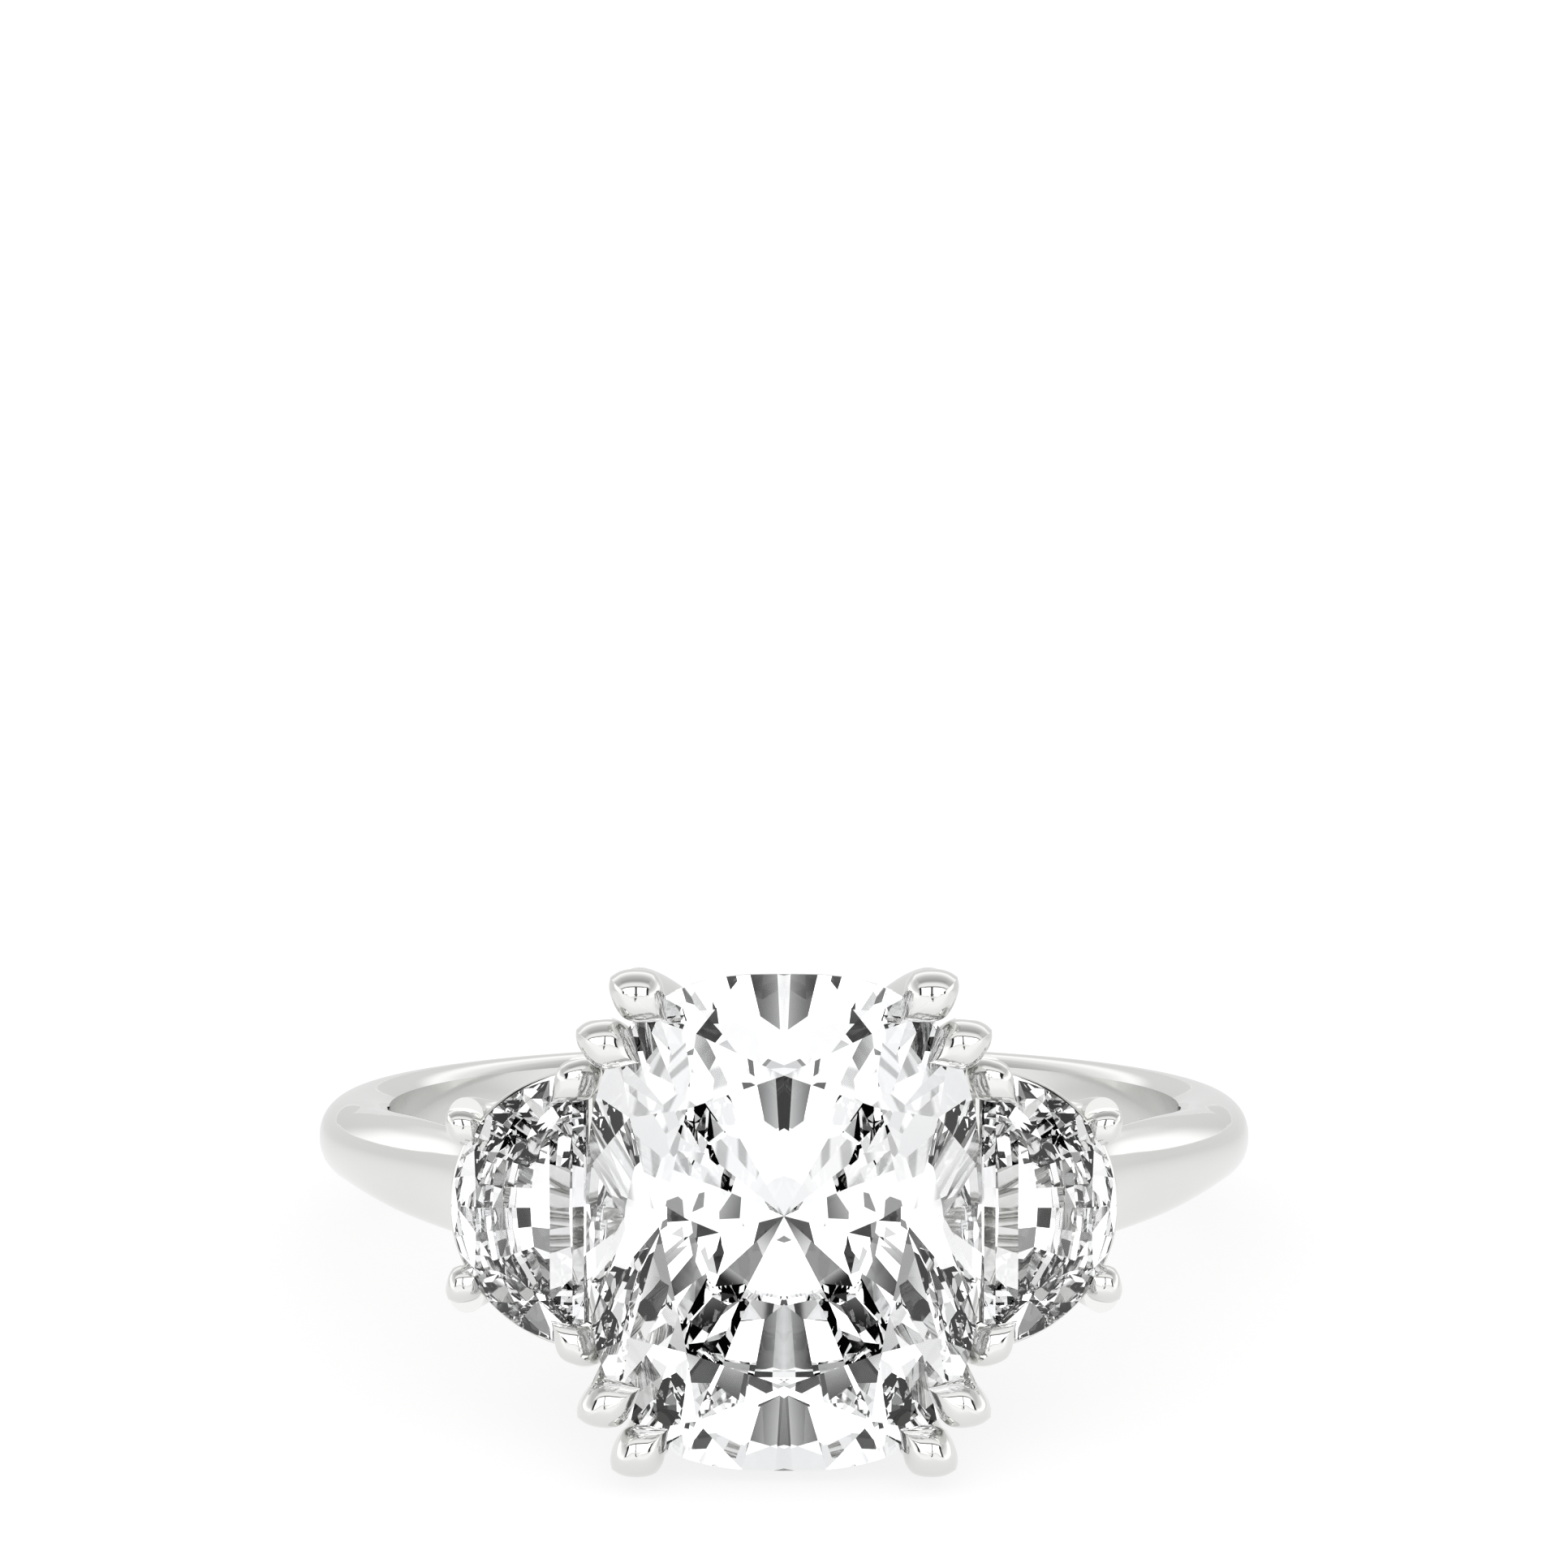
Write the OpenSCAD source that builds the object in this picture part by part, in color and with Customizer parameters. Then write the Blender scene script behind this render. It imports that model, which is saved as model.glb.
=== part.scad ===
// Three-stone ring: an elongated cushion-cut centre stone between two
// half-moon side stones, on a mounting whose shoulders divide and cross
// under the centre stone like a trellis. The ring lies on its side.
//
// Ring frame used by the shape modules: origin at the centre of the finger
// hole, X across the head, Y along the finger, Z up towards the head.
// The laid() module then lays the ring down on its lower prongs and the
// edge of its shank. All sizes are in millimetres.

/* [Finger hole and shank] */
// Diameter of the finger hole
finger_d = 16.9; // [16.5:0.1:17.3]
// Width of the shank along the finger
shank_w = 1.7; // [1.5:0.05:1.9]
// Thickness of the shank, from the finger hole to its outside
shank_t = 1.49; // [1.35:0.01:1.6]
// Width of each shoulder where it divides
shoulder_w = 2.06; // [1.9:0.02:2.2]
// Thickness of the outer branch of a shoulder
branch_t = 0.9; // [0.8:0.02:1]

/* [Centre stone] */
// Width of the centre stone, across the head
stone_w = 7.48; // [7.3:0.02:7.7]
// Length of the centre stone, along the finger
stone_l = 9.44; // [9.2:0.02:9.7]
// Height of the girdle above the edge of the finger hole
girdle_rise = 5.55; // [5.4:0.05:5.7]
// Height of the crown above the girdle
crown_h = 1.1; // [0.95:0.05:1.2]
// Depth of the pavilion below the girdle
pavilion_h = 3.8; // [3.6:0.05:3.85]
// Share of the stone's width that the table takes
table_share = 0.62; // [0.56:0.01:0.66]

/* [Side stones] */
// Length of the straight side of a half-moon stone
moon_l = 5.2; // [5:0.02:5.4]
// Depth of a half-moon stone, from its straight side to its round side
moon_d = 2.7; // [2.6:0.02:2.8]
// Slope of a side stone down towards its shoulder, in degrees
moon_slope = 17; // [15:0.5:19]
// Drop of a side stone below the girdle of the centre stone
moon_drop = 1.54; // [1.45:0.01:1.65]
// Height of the wall under a side stone
wall_h = 1.15; // [1:0.05:1.25]

/* [Prongs] */
// Diameter of the prongs of the centre stone
prong_d = 0.95; // [0.88:0.01:1.02]
// Diameter of the prongs of the side stones
small_prong_d = 0.7; // [0.64:0.01:0.76]
// Space left between a stone and the metal
gap = 0.03; // [0.02:0.005:0.05]

/* [Hidden] */

hole_r = finger_d / 2;
out_r = hole_r + shank_t;
girdle_z = hole_r + girdle_rise;
girdle_t = 0.12;

// Where the two arms of one face cross: height and distance from the middle
cross_z = hole_r + 1.3;
cross_y = 2.25;
cross_step = 0.55;      // how far the second arm passes behind the first

// Prongs at one corner of the centre stone, at girdle height: [x, y]
end_foot = [stone_w / 2 - 0.95, stone_l / 2 - 0.19];
side_foot = [stone_w / 2 - 0.32, stone_l / 2 - 1.2];
// Where their claws point to on the crown: [x, y]
end_tip = [stone_w / 2 - 1.56, stone_l / 2 - 0.86];
side_tip = [stone_w / 2 - 1.04, stone_l / 2 - 1.64];

// Middle of the straight side of a half-moon stone: [x, z]
moon_at = [stone_w / 2 + 0.08, girdle_z - moon_drop];

// ---------------------------------------------------------------- helpers
function unit(v) = v / norm(v);
function mix(a, b, t) = a + (b - a) * t;
// A smooth curve through the rows of a table, with "steps" parts per row
function smooth(rows, steps) = let (n = len(rows)) concat(
    [for (i = [0 : n - 2], j = [0 : steps - 1])
        let (t = j / steps,
             a = rows[max(i - 1, 0)], b = rows[i],
             c = rows[i + 1], d = rows[min(i + 2, n - 1)])
        0.5 * (2 * b + (c - a) * t + (2 * a - 5 * b + 4 * c - d) * t * t
               + (3 * b - a - 3 * c + d) * t * t * t)],
    [rows[n - 1]]);
function bezier(a, b, c, d, t) =
    a * pow(1 - t, 3) + b * 3 * t * pow(1 - t, 2) + c * 3 * t * t * (1 - t) + d * t * t * t;
function sgnpow(v, p) = sign(v) * pow(abs(v), p);

// A closed skin over rings of points, with flat ends
module skin(rings) {
    m = len(rings);
    n = len(rings[0]);
    polyhedron(
        points = [for (r = rings, p = r) p],
        faces = concat(
            [[for (k = [0 : n - 1]) k]],
            [for (i = [0 : m - 2], k = [0 : n - 1], h = [0, 1])
                let (a = i * n + k, b = i * n + (k + 1) % n)
                h == 0 ? [a, a + n, b] : [b, a + n, b + n]],
            [[for (k = [n - 1 : -1 : 0]) (m - 1) * n + k]]),
        convexity = 8);
}

// A wire along rows of [x, y, z, radius, flatness]. "side" is any direction
// that the wire never runs along, and a flatness over 1 widens it that way.
module wire(rows, side, n = 8) {
    m = len(rows);
    p = [for (r = rows) [r[0], r[1], r[2]]];
    skin([for (i = [0 : m - 1])
        let (t = unit(p[min(i + 1, m - 1)] - p[max(i - 1, 0)]),
             u = unit(side - (side * t) * t),
             v = cross(t, u))
        let (f = len(rows[i]) > 4 ? rows[i][4] : 1)
        [for (k = [0 : n - 1]) p[i] + rows[i][3] * (f * cos(360 * k / n) * u + sin(360 * k / n) / f * v)]]);
}

// The claw at the top of a prong: from the foot at height z it rounds over
// and runs to a point. Rows of [x, y, z, radius].
// Columns: share of the way to the tip, rise over the wire's diameter,
// radius over the wire's radius
claw_table = [
    [0.03, 0.22, 1.00],
    [0.09, 0.36, 0.93],
    [0.28, 0.48, 0.76],
    [0.55, 0.54, 0.54],
    [0.82, 0.56, 0.30],
    [1.00, 0.54, 0.07]];
function claw(foot, tip, z, d, drop = 0) = [for (c = claw_table)
    [mix(foot[0], tip[0], c[0]), mix(foot[1], tip[1], c[0]),
     z + c[1] * d - drop * c[0], c[2] * d / 2]];

// ---------------------------------------------------------------- outlines
// Girdle of the centre stone: a square that bulges into an oval
function cushion(w, l, z, n = 32, e = 2.85) = [for (k = [0 : n - 1])
    let (a = 360 * (k + 0.5) / n)
    [w / 2 * sgnpow(cos(a), 2 / e), l / 2 * sgnpow(sin(a), 2 / e), z]];
// Half-moon: straight side on u = 0, round side out to u = d
function moon(d, l, z, shift = 0, n = 22) =
    [for (k = [0 : n]) let (a = -90 + 180 * k / n) [shift + d * cos(a), l / 2 * sin(a), z]];

// ---------------------------------------------------------------- stones
// Columns: height as a share of the crown or pavilion, share of the girdle
crown_table = [[1, table_share], [0.56, 0.83], [0.0, 1.0]];
pavilion_table = [[0.0, 1.0], [0.24, 0.86], [0.62, 0.5], [0.995, 0.02]];
module cushion_cut(g = 0) {
    top = girdle_t / 2 + g;
    skin(concat(
        [for (r = pavilion_table_up()) cushion(stone_w * r[1] + 2 * g, stone_l * r[1] + 2 * g,
            girdle_z - girdle_t / 2 - g - pavilion_h * r[0])],
        [for (i = [len(crown_table) - 1 : -1 : 0]) let (r = crown_table[i])
            cushion(stone_w * r[1] + 2 * g, stone_l * r[1] + 2 * g, girdle_z + top + crown_h * r[0])]));
}
function pavilion_table_up() = [for (i = [len(pavilion_table) - 1 : -1 : 0]) pavilion_table[i]];

// A half-moon stone in its own plane: u out from the straight side, z up
moon_crown = 0.5;
moon_pavilion = 1.35;
moon_mid = 0.42;     // where the facets gather, as a share of the depth
function moon_ring(share, z, g) =
    moon(moon_d * share + g * 1.6, moon_l * share + 2.4 * g, z, moon_d * moon_mid * (1 - share) - g);
module half_moon_cut(g = 0) {
    skin([
        moon_ring(0.08, -girdle_t / 2 - g - moon_pavilion, g),
        moon_ring(0.62, -girdle_t / 2 - g - moon_pavilion * 0.5, g),
        moon_ring(1, -girdle_t / 2 - g, g),
        moon_ring(1, girdle_t / 2 + g, g),
        moon_ring(0.84, girdle_t / 2 + g + moon_crown * 0.55, g),
        moon_ring(0.62, girdle_t / 2 + g + moon_crown, g)]);
}
module on_moon_seat() {
    translate([moon_at[0], 0, moon_at[1]]) rotate([0, moon_slope, 0]) children();
}

// ---------------------------------------------------------------- shank
// The band: one bar from the left side wall down its shoulder, round the
// finger and up to the right side wall. Each row is the outside of the bar
// in the XZ plane, its thickness and its width.
shoulder_a = 18;      // angle above the middle where the bar leaves the circle
wall_foot = [moon_at[0] + 2.33, moon_at[1] - 1.55];
function branch(t) =
    let (a = out_r * [cos(shoulder_a), sin(shoulder_a)],
         b = a + 3.75 * [-sin(shoulder_a), cos(shoulder_a)],
         c = wall_foot + [0.12, -2.35])
    bezier(a, b, c, wall_foot, t);
// Columns: share of the way up the branch, thickness, width
branch_table = [
    [0.00, shank_t + 0.25, shank_w],
    [0.12, shank_t + 0.12, mix(shank_w, shoulder_w, 0.35)],
    [0.28, shank_t - 0.10, mix(shank_w, shoulder_w, 0.8)],
    [0.44, mix(branch_t, shank_t, 0.45), shoulder_w],
    [0.60, mix(branch_t, shank_t, 0.12), shoulder_w],
    [0.75, branch_t, shoulder_w - 0.1],
    [0.88, branch_t, shoulder_w - 0.2],
    [1.00, branch_t, shoulder_w - 0.25]];
ring_steps = 26;
function band_rows() =
    let (up = smooth(branch_table, 2), m = len(up),
         ring = [for (k = [1 : ring_steps - 1])
             let (a = shoulder_a - (180 + 2 * shoulder_a) * k / ring_steps)
             [out_r * cos(a), out_r * sin(a), shank_t + 0.25, shank_w]],
         right = [for (i = [m - 1 : -1 : 0]) let (q = branch(up[i][0])) [q[0], q[1], up[i][1], up[i][2]]],
         left = [for (i = [0 : m - 1]) let (q = branch(up[i][0])) [-q[0], q[1], up[i][1], up[i][2]]])
    concat(right, ring, left);
module band(n = 10) {
    rows = band_rows();
    m = len(rows);
    skin([for (i = [0 : m - 1])
        let (r = rows[i],
             t = unit([rows[min(i + 1, m - 1)][0] - rows[max(i - 1, 0)][0],
                       rows[min(i + 1, m - 1)][1] - rows[max(i - 1, 0)][1]]),
             inward = [t[1], -t[0]])
        [for (k = [0 : n - 1])
            let (a = 360 * (k + 0.5) / n,
                 q = [r[0], r[1]] + inward * (r[2] / 2 - r[2] / 2 * cos(a) / cos(180 / n)))
            [q[0], -r[3] / 2 * sgnpow(sin(a), 0.9), q[1]]]]);
}

// ---------------------------------------------------------------- trellis
// From the crossing up to a corner of the centre stone.
// Columns: share of the height, then for the outer strand and the inner
// strand the share of the way out in x and in y, the radius share, and the
// share of cross_step by which the arm behind keeps back
rise_table = [
    [0.00, 0.000, 0.00, 0.000, 0.00, 0.90, 1.00],
    [0.15, 0.330, 0.21, 0.365, 0.20, 0.95, 0.80],
    [0.33, 0.577, 0.47, 0.597, 0.44, 1.03, 0.30],
    [0.52, 0.757, 0.70, 0.766, 0.63, 1.06, 0.00],
    [0.70, 0.889, 0.87, 0.886, 0.81, 1.03, 0.00],
    [0.89, 0.973, 0.98, 0.968, 0.95, 1.00, 0.00],
    [1.00, 1.000, 1.00, 1.000, 1.00, 1.00, 0.00]];
// From the crossing along the finger hole into the opposite shoulder.
// Columns: angle from the X axis, height over the finger hole, distance
// from the middle in y, radius share, share of cross_step as above
arm_table = [
    [24, 0.42, 0.20, 0.84, 0.00],
    [33, 0.38, 0.28, 0.88, 0.00],
    [42, 0.37, 0.42, 0.88, 0.00],
    [49, 0.36, 0.70, 0.88, 0.00],
    [55, 0.36, 0.97, 0.88, 0.00],
    [63, 0.38, 1.27, 0.88, 0.00],
    [71, 0.45, 1.52, 0.88, 0.15],
    [78, 0.62, 1.72, 0.88, 0.45],
    [84, 0.87, 1.92, 0.88, 0.80]];
// The inner strand of each pair lies beside the outer one, nearer the middle
inner_cross = [1.02, -0.02];   // its crossing: distance in y, height
function strand(foot, tip, inner, under) =
    let (cy = inner ? inner_cross[0] : cross_y,
         cz = cross_z + (inner ? inner_cross[1] : 0),
         top = girdle_z + 0.08,
         arm = [for (r = arm_table)
             let (rr = hole_r + r[1] + (inner ? 0.22 : 0))
             [-rr * cos(r[0]), -r[2] * (inner ? cy / cross_y : 1) + under * r[4],
              rr * sin(r[0]), prong_d / 2 * r[3]]],
         rise = [for (r = rise_table)
             [foot[0] * r[inner ? 3 : 1] - under * r[6] / 2,
              -mix(cy, foot[1], r[inner ? 4 : 2]) + under * r[6],
              mix(cz, top, r[0]), prong_d / 2 * r[5]]],
         head = [for (c = claw(foot, tip, top, prong_d)) [c[0], -c[1], c[2], c[3]]],
         path = smooth(concat(arm, rise), 2),
         m = 2 * len(arm), low = m + 6)
    concat([for (i = [0 : 2 : m - 2]) path[i]], [for (i = [m : low - 1]) path[i]],
        [for (i = [low : 2 : len(path) - 1]) path[i]], head);
module corner_pair(under) {
    side = [-0.45, -0.89, 0];
    wire(strand(end_foot, end_tip, false, under), side);
    wire(strand(side_foot, side_tip, true, under * 0.5), side);
}
// The two corners of one face: the first pair passes behind the second
module face_trellis() {
    corner_pair(cross_step);
    mirror([1, 0, 0]) corner_pair(0);
}

// ---------------------------------------------------------------- side seats
// Outer prong of a side stone: it sweeps down and in under the wall to the
// crossing. Columns: share of the way out in x, y, height over the crossing,
// radius share, flatness
sweep_reach = moon_at[0] + 2.33;
sweep_table = [
    [0.13, 1.50, 0.00, 0.80, 1.00],
    [0.32, 1.60, 0.06, 0.90, 1.00],
    [0.52, 1.68, 0.12, 0.98, 1.05],
    [0.72, 1.67, 0.30, 0.93, 1.16],
    [0.86, 1.63, 0.61, 0.88, 1.26],
    [0.94, 1.66, 1.02, 0.90, 1.20],
    [0.985, 1.73, 1.46, 0.97, 1.08],
    [1.00, 1.75, 1.85, 1.00, 1.00]];
outer_tip = [moon_at[0] + 1.98, 1.2];
module outer_prong() {
    rows = concat(
        [for (r = sweep_table)
            [sweep_reach * r[0], -r[1], cross_z + r[2], small_prong_d / 2 * r[3], r[4]]],
        [for (c = claw([sweep_reach, 1.75], outer_tip, cross_z + 1.85, small_prong_d, -0.02))
            [c[0], -c[1], c[2], c[3]]]);
    wire(rows, [-0.6, -0.5, 0.6]);
}
// Inner prong: a short post on the corner of the wall
inner_foot = [0.02, moon_l / 2 + 0.03];
inner_tip = [0.58, moon_l / 2 - 0.5];
module inner_prong() {
    post = [[inner_foot[0], -inner_foot[1], -wall_h - 0.1, small_prong_d / 2 * 0.94],
            [inner_foot[0], -inner_foot[1], -wall_h - 0.04, small_prong_d / 2 * 1.12],
            [inner_foot[0], -inner_foot[1], -wall_h / 2, small_prong_d / 2 * 1.14],
            [inner_foot[0], -inner_foot[1], 0.02, small_prong_d / 2 * 1.14]];
    on_moon_seat() wire(concat(post,
        [for (c = claw(inner_foot, inner_tip, 0.05, small_prong_d * 1.14)) [c[0], -c[1], c[2], c[3]]]),
        [0.6, 0.8, 0]);
}
// D-shaped wall under a side stone. Its underside slopes less than the stone,
// so the wall is lower towards the shoulder.
function wall_depth(u) = wall_h * (1.08 - 0.42 * pow(max(0, u) / moon_d, 2));
module seat_wall() {
    rim = 0.13;
    th = 0.47;
    // Columns: share of the wall's height down from its top, how far the
    // wall swells out
    swell = [[1, -0.06], [0.7, 0.01], [0.35, 0.02], [0, -0.02]];
    on_moon_seat() difference() {
        skin([for (r = swell)
            [for (p = moon(moon_d + 2 * rim + 2 * r[1], moon_l + 2 * rim + 2 * r[1], 0, -rim))
                [p[0], p[1], -0.08 - r[0] * wall_depth(p[0])]]]);
        skin([
            moon(moon_d + 2 * rim - 2 * th, moon_l + 2 * rim - 2.4 * th, -wall_h - 1, -rim + th),
            moon(moon_d + 2 * rim - 2 * th, moon_l + 2 * rim - 2.4 * th, 1, -rim + th)]);
    }
}
module side_seat() {
    seat_wall();
    for (s = [0, 1]) mirror([0, s, 0]) {
        outer_prong();
        inner_prong();
    }
}

// ---------------------------------------------------------------- laying down
// Lowest points of the head and of the shank, as circles in the YZ plane:
// the lower prongs just under the girdle, and the edge of the shank
prong_low = [-(end_foot[1] - 0.01), girdle_z - 0.15];
shank_low = [0, -(out_r - (shank_t + 0.25) / 2)];
rest_span = prong_low - shank_low;
rest_tilt = atan2(-rest_span[0], rest_span[1])
    - asin((shank_w / 2 - prong_d / 2) / norm(rest_span));
facet_slack = 0.011;    // how far the flat facets lie inside the round wires
lift = shank_w / 2 - (shank_low[1] * sin(rest_tilt)) - facet_slack;
// Middle of the laid ring from front to back
front_y = -((girdle_z + girdle_t / 2 + crown_h) * cos(rest_tilt)
    + stone_l / 2 * table_share * 0.93 * sin(rest_tilt));
back_y = -shank_low[1] * cos(rest_tilt) + (shank_t + 0.25) / 2;
module laid() {
    translate([0, -(front_y + back_y) / 2, lift]) rotate([90 - rest_tilt, 0, 0]) children();
}

// ---------------------------------------------------------------- nodes
module mounting() {
    color("gainsboro") laid() difference() {
        resize([0, 0, 0]) difference() {
            union() {
                band();
                face_trellis();
                rotate([0, 0, 180]) face_trellis();
                for (s = [0, 1]) mirror([s, 0, 0]) side_seat();
            }
            cushion_cut(gap);
            for (s = [0, 1]) mirror([s, 0, 0]) on_moon_seat() half_moon_cut(gap);
        }
        rotate([90, 0, 0]) cylinder(h = 20, r = hole_r, center = true, $fn = 96);
    }
}
module center_stone() {
    color("aliceblue") laid() cushion_cut();
}
module side_stone_right() {
    color("aliceblue") laid() on_moon_seat() half_moon_cut();
}
module side_stone_left() {
    color("aliceblue") laid() mirror([1, 0, 0]) on_moon_seat() half_moon_cut();
}

mounting();
center_stone();
side_stone_left();
side_stone_right();
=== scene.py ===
"""Looks of the three-stone ring: the polished mounting, the faceted stones, and a plain studio.

Sizes are in millimetres in the ring's own frame, as in the part's source: origin at the
centre of the finger hole, X across the head, Y along the finger, Z towards the head.
laid() then turns a point into the row frame, in metres, with the ring lying on its side.
"""

import math

import bpy
import numpy as np
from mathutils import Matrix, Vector


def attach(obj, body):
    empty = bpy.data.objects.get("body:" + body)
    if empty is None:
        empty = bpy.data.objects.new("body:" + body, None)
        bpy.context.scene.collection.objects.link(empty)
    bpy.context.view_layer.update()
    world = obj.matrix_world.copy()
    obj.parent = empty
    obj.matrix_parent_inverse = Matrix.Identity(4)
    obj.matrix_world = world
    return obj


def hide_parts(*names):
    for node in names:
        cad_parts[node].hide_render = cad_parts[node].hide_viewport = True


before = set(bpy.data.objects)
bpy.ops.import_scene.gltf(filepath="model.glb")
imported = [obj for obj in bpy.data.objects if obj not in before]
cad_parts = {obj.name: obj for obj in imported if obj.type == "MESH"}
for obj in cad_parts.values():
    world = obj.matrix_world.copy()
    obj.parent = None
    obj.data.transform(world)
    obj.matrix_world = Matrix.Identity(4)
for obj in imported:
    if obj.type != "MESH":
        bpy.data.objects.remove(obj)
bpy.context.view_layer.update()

# ------------------------------------------------------------------ sizes
FINGER_D = 16.9
SHANK_W = 1.7
SHANK_T = 1.49
SHOULDER_W = 2.06
BRANCH_T = 0.9
STONE_W = 7.48
STONE_L = 9.44
GIRDLE_RISE = 5.55
CROWN_H = 1.1
PAVILION_H = 3.8
TABLE_SHARE = 0.62
MOON_L = 5.2
MOON_D = 2.7
MOON_SLOPE = 17.0
MOON_DROP = 1.54
WALL_H = 1.15
PRONG_D = 0.95
SMALL_PRONG_D = 0.7
GIRDLE_T = 0.12

HOLE_R = FINGER_D / 2
OUT_R = HOLE_R + SHANK_T
GIRDLE_Z = HOLE_R + GIRDLE_RISE
CROSS_Z = HOLE_R + 1.3
CROSS_Y = 2.25
CROSS_STEP = 0.55
END_FOOT = (STONE_W / 2 - 0.95, STONE_L / 2 - 0.31)
SIDE_FOOT = (STONE_W / 2 - 0.32, STONE_L / 2 - 1.2)
END_TIP = (STONE_W / 2 - 1.56, STONE_L / 2 - 0.86)
SIDE_TIP = (STONE_W / 2 - 1.04, STONE_L / 2 - 1.64)
MOON_AT = (STONE_W / 2 + 0.08, GIRDLE_Z - MOON_DROP)

# How the ring lies: leaning on its lower prongs and the edge of its shank
PRONG_LOW = (-(STONE_L / 2 - 0.20), GIRDLE_Z - 0.15)
SHANK_LOW = (0.0, -(OUT_R - (SHANK_T + 0.25) / 2))
SPAN = (PRONG_LOW[0] - SHANK_LOW[0], PRONG_LOW[1] - SHANK_LOW[1])
TILT = math.atan2(-SPAN[0], SPAN[1]) - math.asin((SHANK_W / 2 - PRONG_D / 2) / math.hypot(*SPAN))
SIN_T, COS_T = math.sin(TILT), math.cos(TILT)
LIFT = SHANK_W / 2 - SHANK_LOW[1] * SIN_T + 0.002
FRONT_Y = -((GIRDLE_Z + GIRDLE_T / 2 + CROWN_H) * COS_T + STONE_L / 2 * TABLE_SHARE * 0.93 * SIN_T)
BACK_Y = -SHANK_LOW[1] * COS_T + (SHANK_T + 0.25) / 2
MID_Y = -(FRONT_Y + BACK_Y) / 2
INSET = 0.9997          # keeps these smooth rounds inside the box of the part's coarser ones


def laid(points):
    """Ring frame in millimetres to row frame in metres."""
    p = np.asarray(points, float)
    out = np.empty_like(p)
    out[..., 0] = p[..., 0] * INSET
    out[..., 1] = (p[..., 1] * SIN_T - p[..., 2] * COS_T + MID_Y) * INSET
    out[..., 2] = p[..., 1] * COS_T + p[..., 2] * SIN_T + LIFT
    return out * 0.001


# ------------------------------------------------------------------ curves
def unit(v):
    v = np.asarray(v, float)
    return v / np.linalg.norm(v)


def mix(a, b, t):
    return a + (b - a) * t


def smooth(rows, steps):
    """A smooth curve through the rows of a table."""
    rows = [np.array(r, float) for r in rows]
    n = len(rows)
    out = []
    for i in range(n - 1):
        a, b, c, d = rows[max(i - 1, 0)], rows[i], rows[i + 1], rows[min(i + 2, n - 1)]
        for j in range(steps):
            t = j / steps
            out.append(0.5 * (2 * b + (c - a) * t + (2 * a - 5 * b + 4 * c - d) * t * t
                              + (3 * b - a - 3 * c + d) * t ** 3))
    out.append(rows[-1])
    return np.array(out)


def power(v, p):
    return np.sign(v) * np.abs(v) ** p


def tube(rows, side, n=40):
    """Rings of points along rows of x, y, z, radius and, if given, flatness."""
    rows = np.asarray(rows, float)
    p, r = rows[:, :3], rows[:, 3]
    f = rows[:, 4] if rows.shape[1] > 4 else np.ones(len(rows))
    a = np.arange(n) * 2 * math.pi / n
    rings = []
    for i in range(len(rows)):
        t = unit(p[min(i + 1, len(p) - 1)] - p[max(i - 1, 0)])
        u = unit(np.array(side) - np.dot(side, t) * t)
        v = np.cross(t, u)
        rings.append(p[i] + r[i] * (f[i] * np.cos(a)[:, None] * u + np.sin(a)[:, None] / f[i] * v))
    return np.array(rings)


def mirrored(rings, x=1, y=1):
    """The same rings on the other side, kept the right way out."""
    out = np.array(rings) * np.array([x, y, 1.0])
    return out[:, ::-1] if x * y < 0 else out


# ------------------------------------------------------------------ solids
PARTS = []      # every solid of the mounting, before they are joined


def ring_faces(m, n):
    k = np.arange(n)
    faces = []
    for i in range(m - 1):
        a, b = i * n + k, i * n + (k + 1) % n
        faces += np.stack([a, b, b + n, a + n], 1).tolist()
    faces.append(k[::-1].tolist())
    faces.append((k + (m - 1) * n).tolist())
    return faces


def solid(name, rings, sharp=40, add=True):
    """A closed solid through rings of points, with its shading normals kept on it."""
    rings = np.asarray(rings, float)
    m, n = rings.shape[:2]
    points = rings.reshape(-1, 3)
    mesh = bpy.data.meshes.new(name)
    mesh.from_pydata(laid(points).tolist(), [], ring_faces(m, n))
    mesh.polygons.foreach_set("use_smooth", [True] * len(mesh.polygons))
    mesh.update()
    mesh.set_sharp_from_angle(angle=math.radians(sharp))
    normals = np.empty(len(mesh.loops) * 3, "f")
    mesh.corner_normals.foreach_get("vector", normals)
    mesh.attributes.new("shade", "FLOAT_VECTOR", "CORNER").data.foreach_set("vector", normals)
    obj = bpy.data.objects.new(name, mesh)
    bpy.context.scene.collection.objects.link(obj)
    if add:
        PARTS.append(obj)
    return obj


# ------------------------------------------------------------------ shank
SHOULDER_A = math.radians(18)
WALL_FOOT = np.array([MOON_AT[0] + 2.33, MOON_AT[1] - 1.55])


def branch(t):
    s, c = math.sin(SHOULDER_A), math.cos(SHOULDER_A)
    a = OUT_R * np.array([c, s])
    b = a + 3.75 * np.array([-s, c])
    d = WALL_FOOT
    e = WALL_FOOT + np.array([0.12, -2.35])
    return a * (1 - t) ** 3 + b * 3 * t * (1 - t) ** 2 + e * 3 * t * t * (1 - t) + d * t ** 3


# Share of the way up the branch, thickness, width
BRANCH_TABLE = [
    (0.00, SHANK_T + 0.25, SHANK_W),
    (0.12, SHANK_T + 0.12, mix(SHANK_W, SHOULDER_W, 0.35)),
    (0.28, SHANK_T - 0.10, mix(SHANK_W, SHOULDER_W, 0.8)),
    (0.44, mix(BRANCH_T, SHANK_T, 0.45), SHOULDER_W),
    (0.60, mix(BRANCH_T, SHANK_T, 0.12), SHOULDER_W),
    (0.75, BRANCH_T, SHOULDER_W - 0.1),
    (0.88, BRANCH_T, SHOULDER_W - 0.2),
    (1.00, BRANCH_T, SHOULDER_W - 0.25)]


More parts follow.
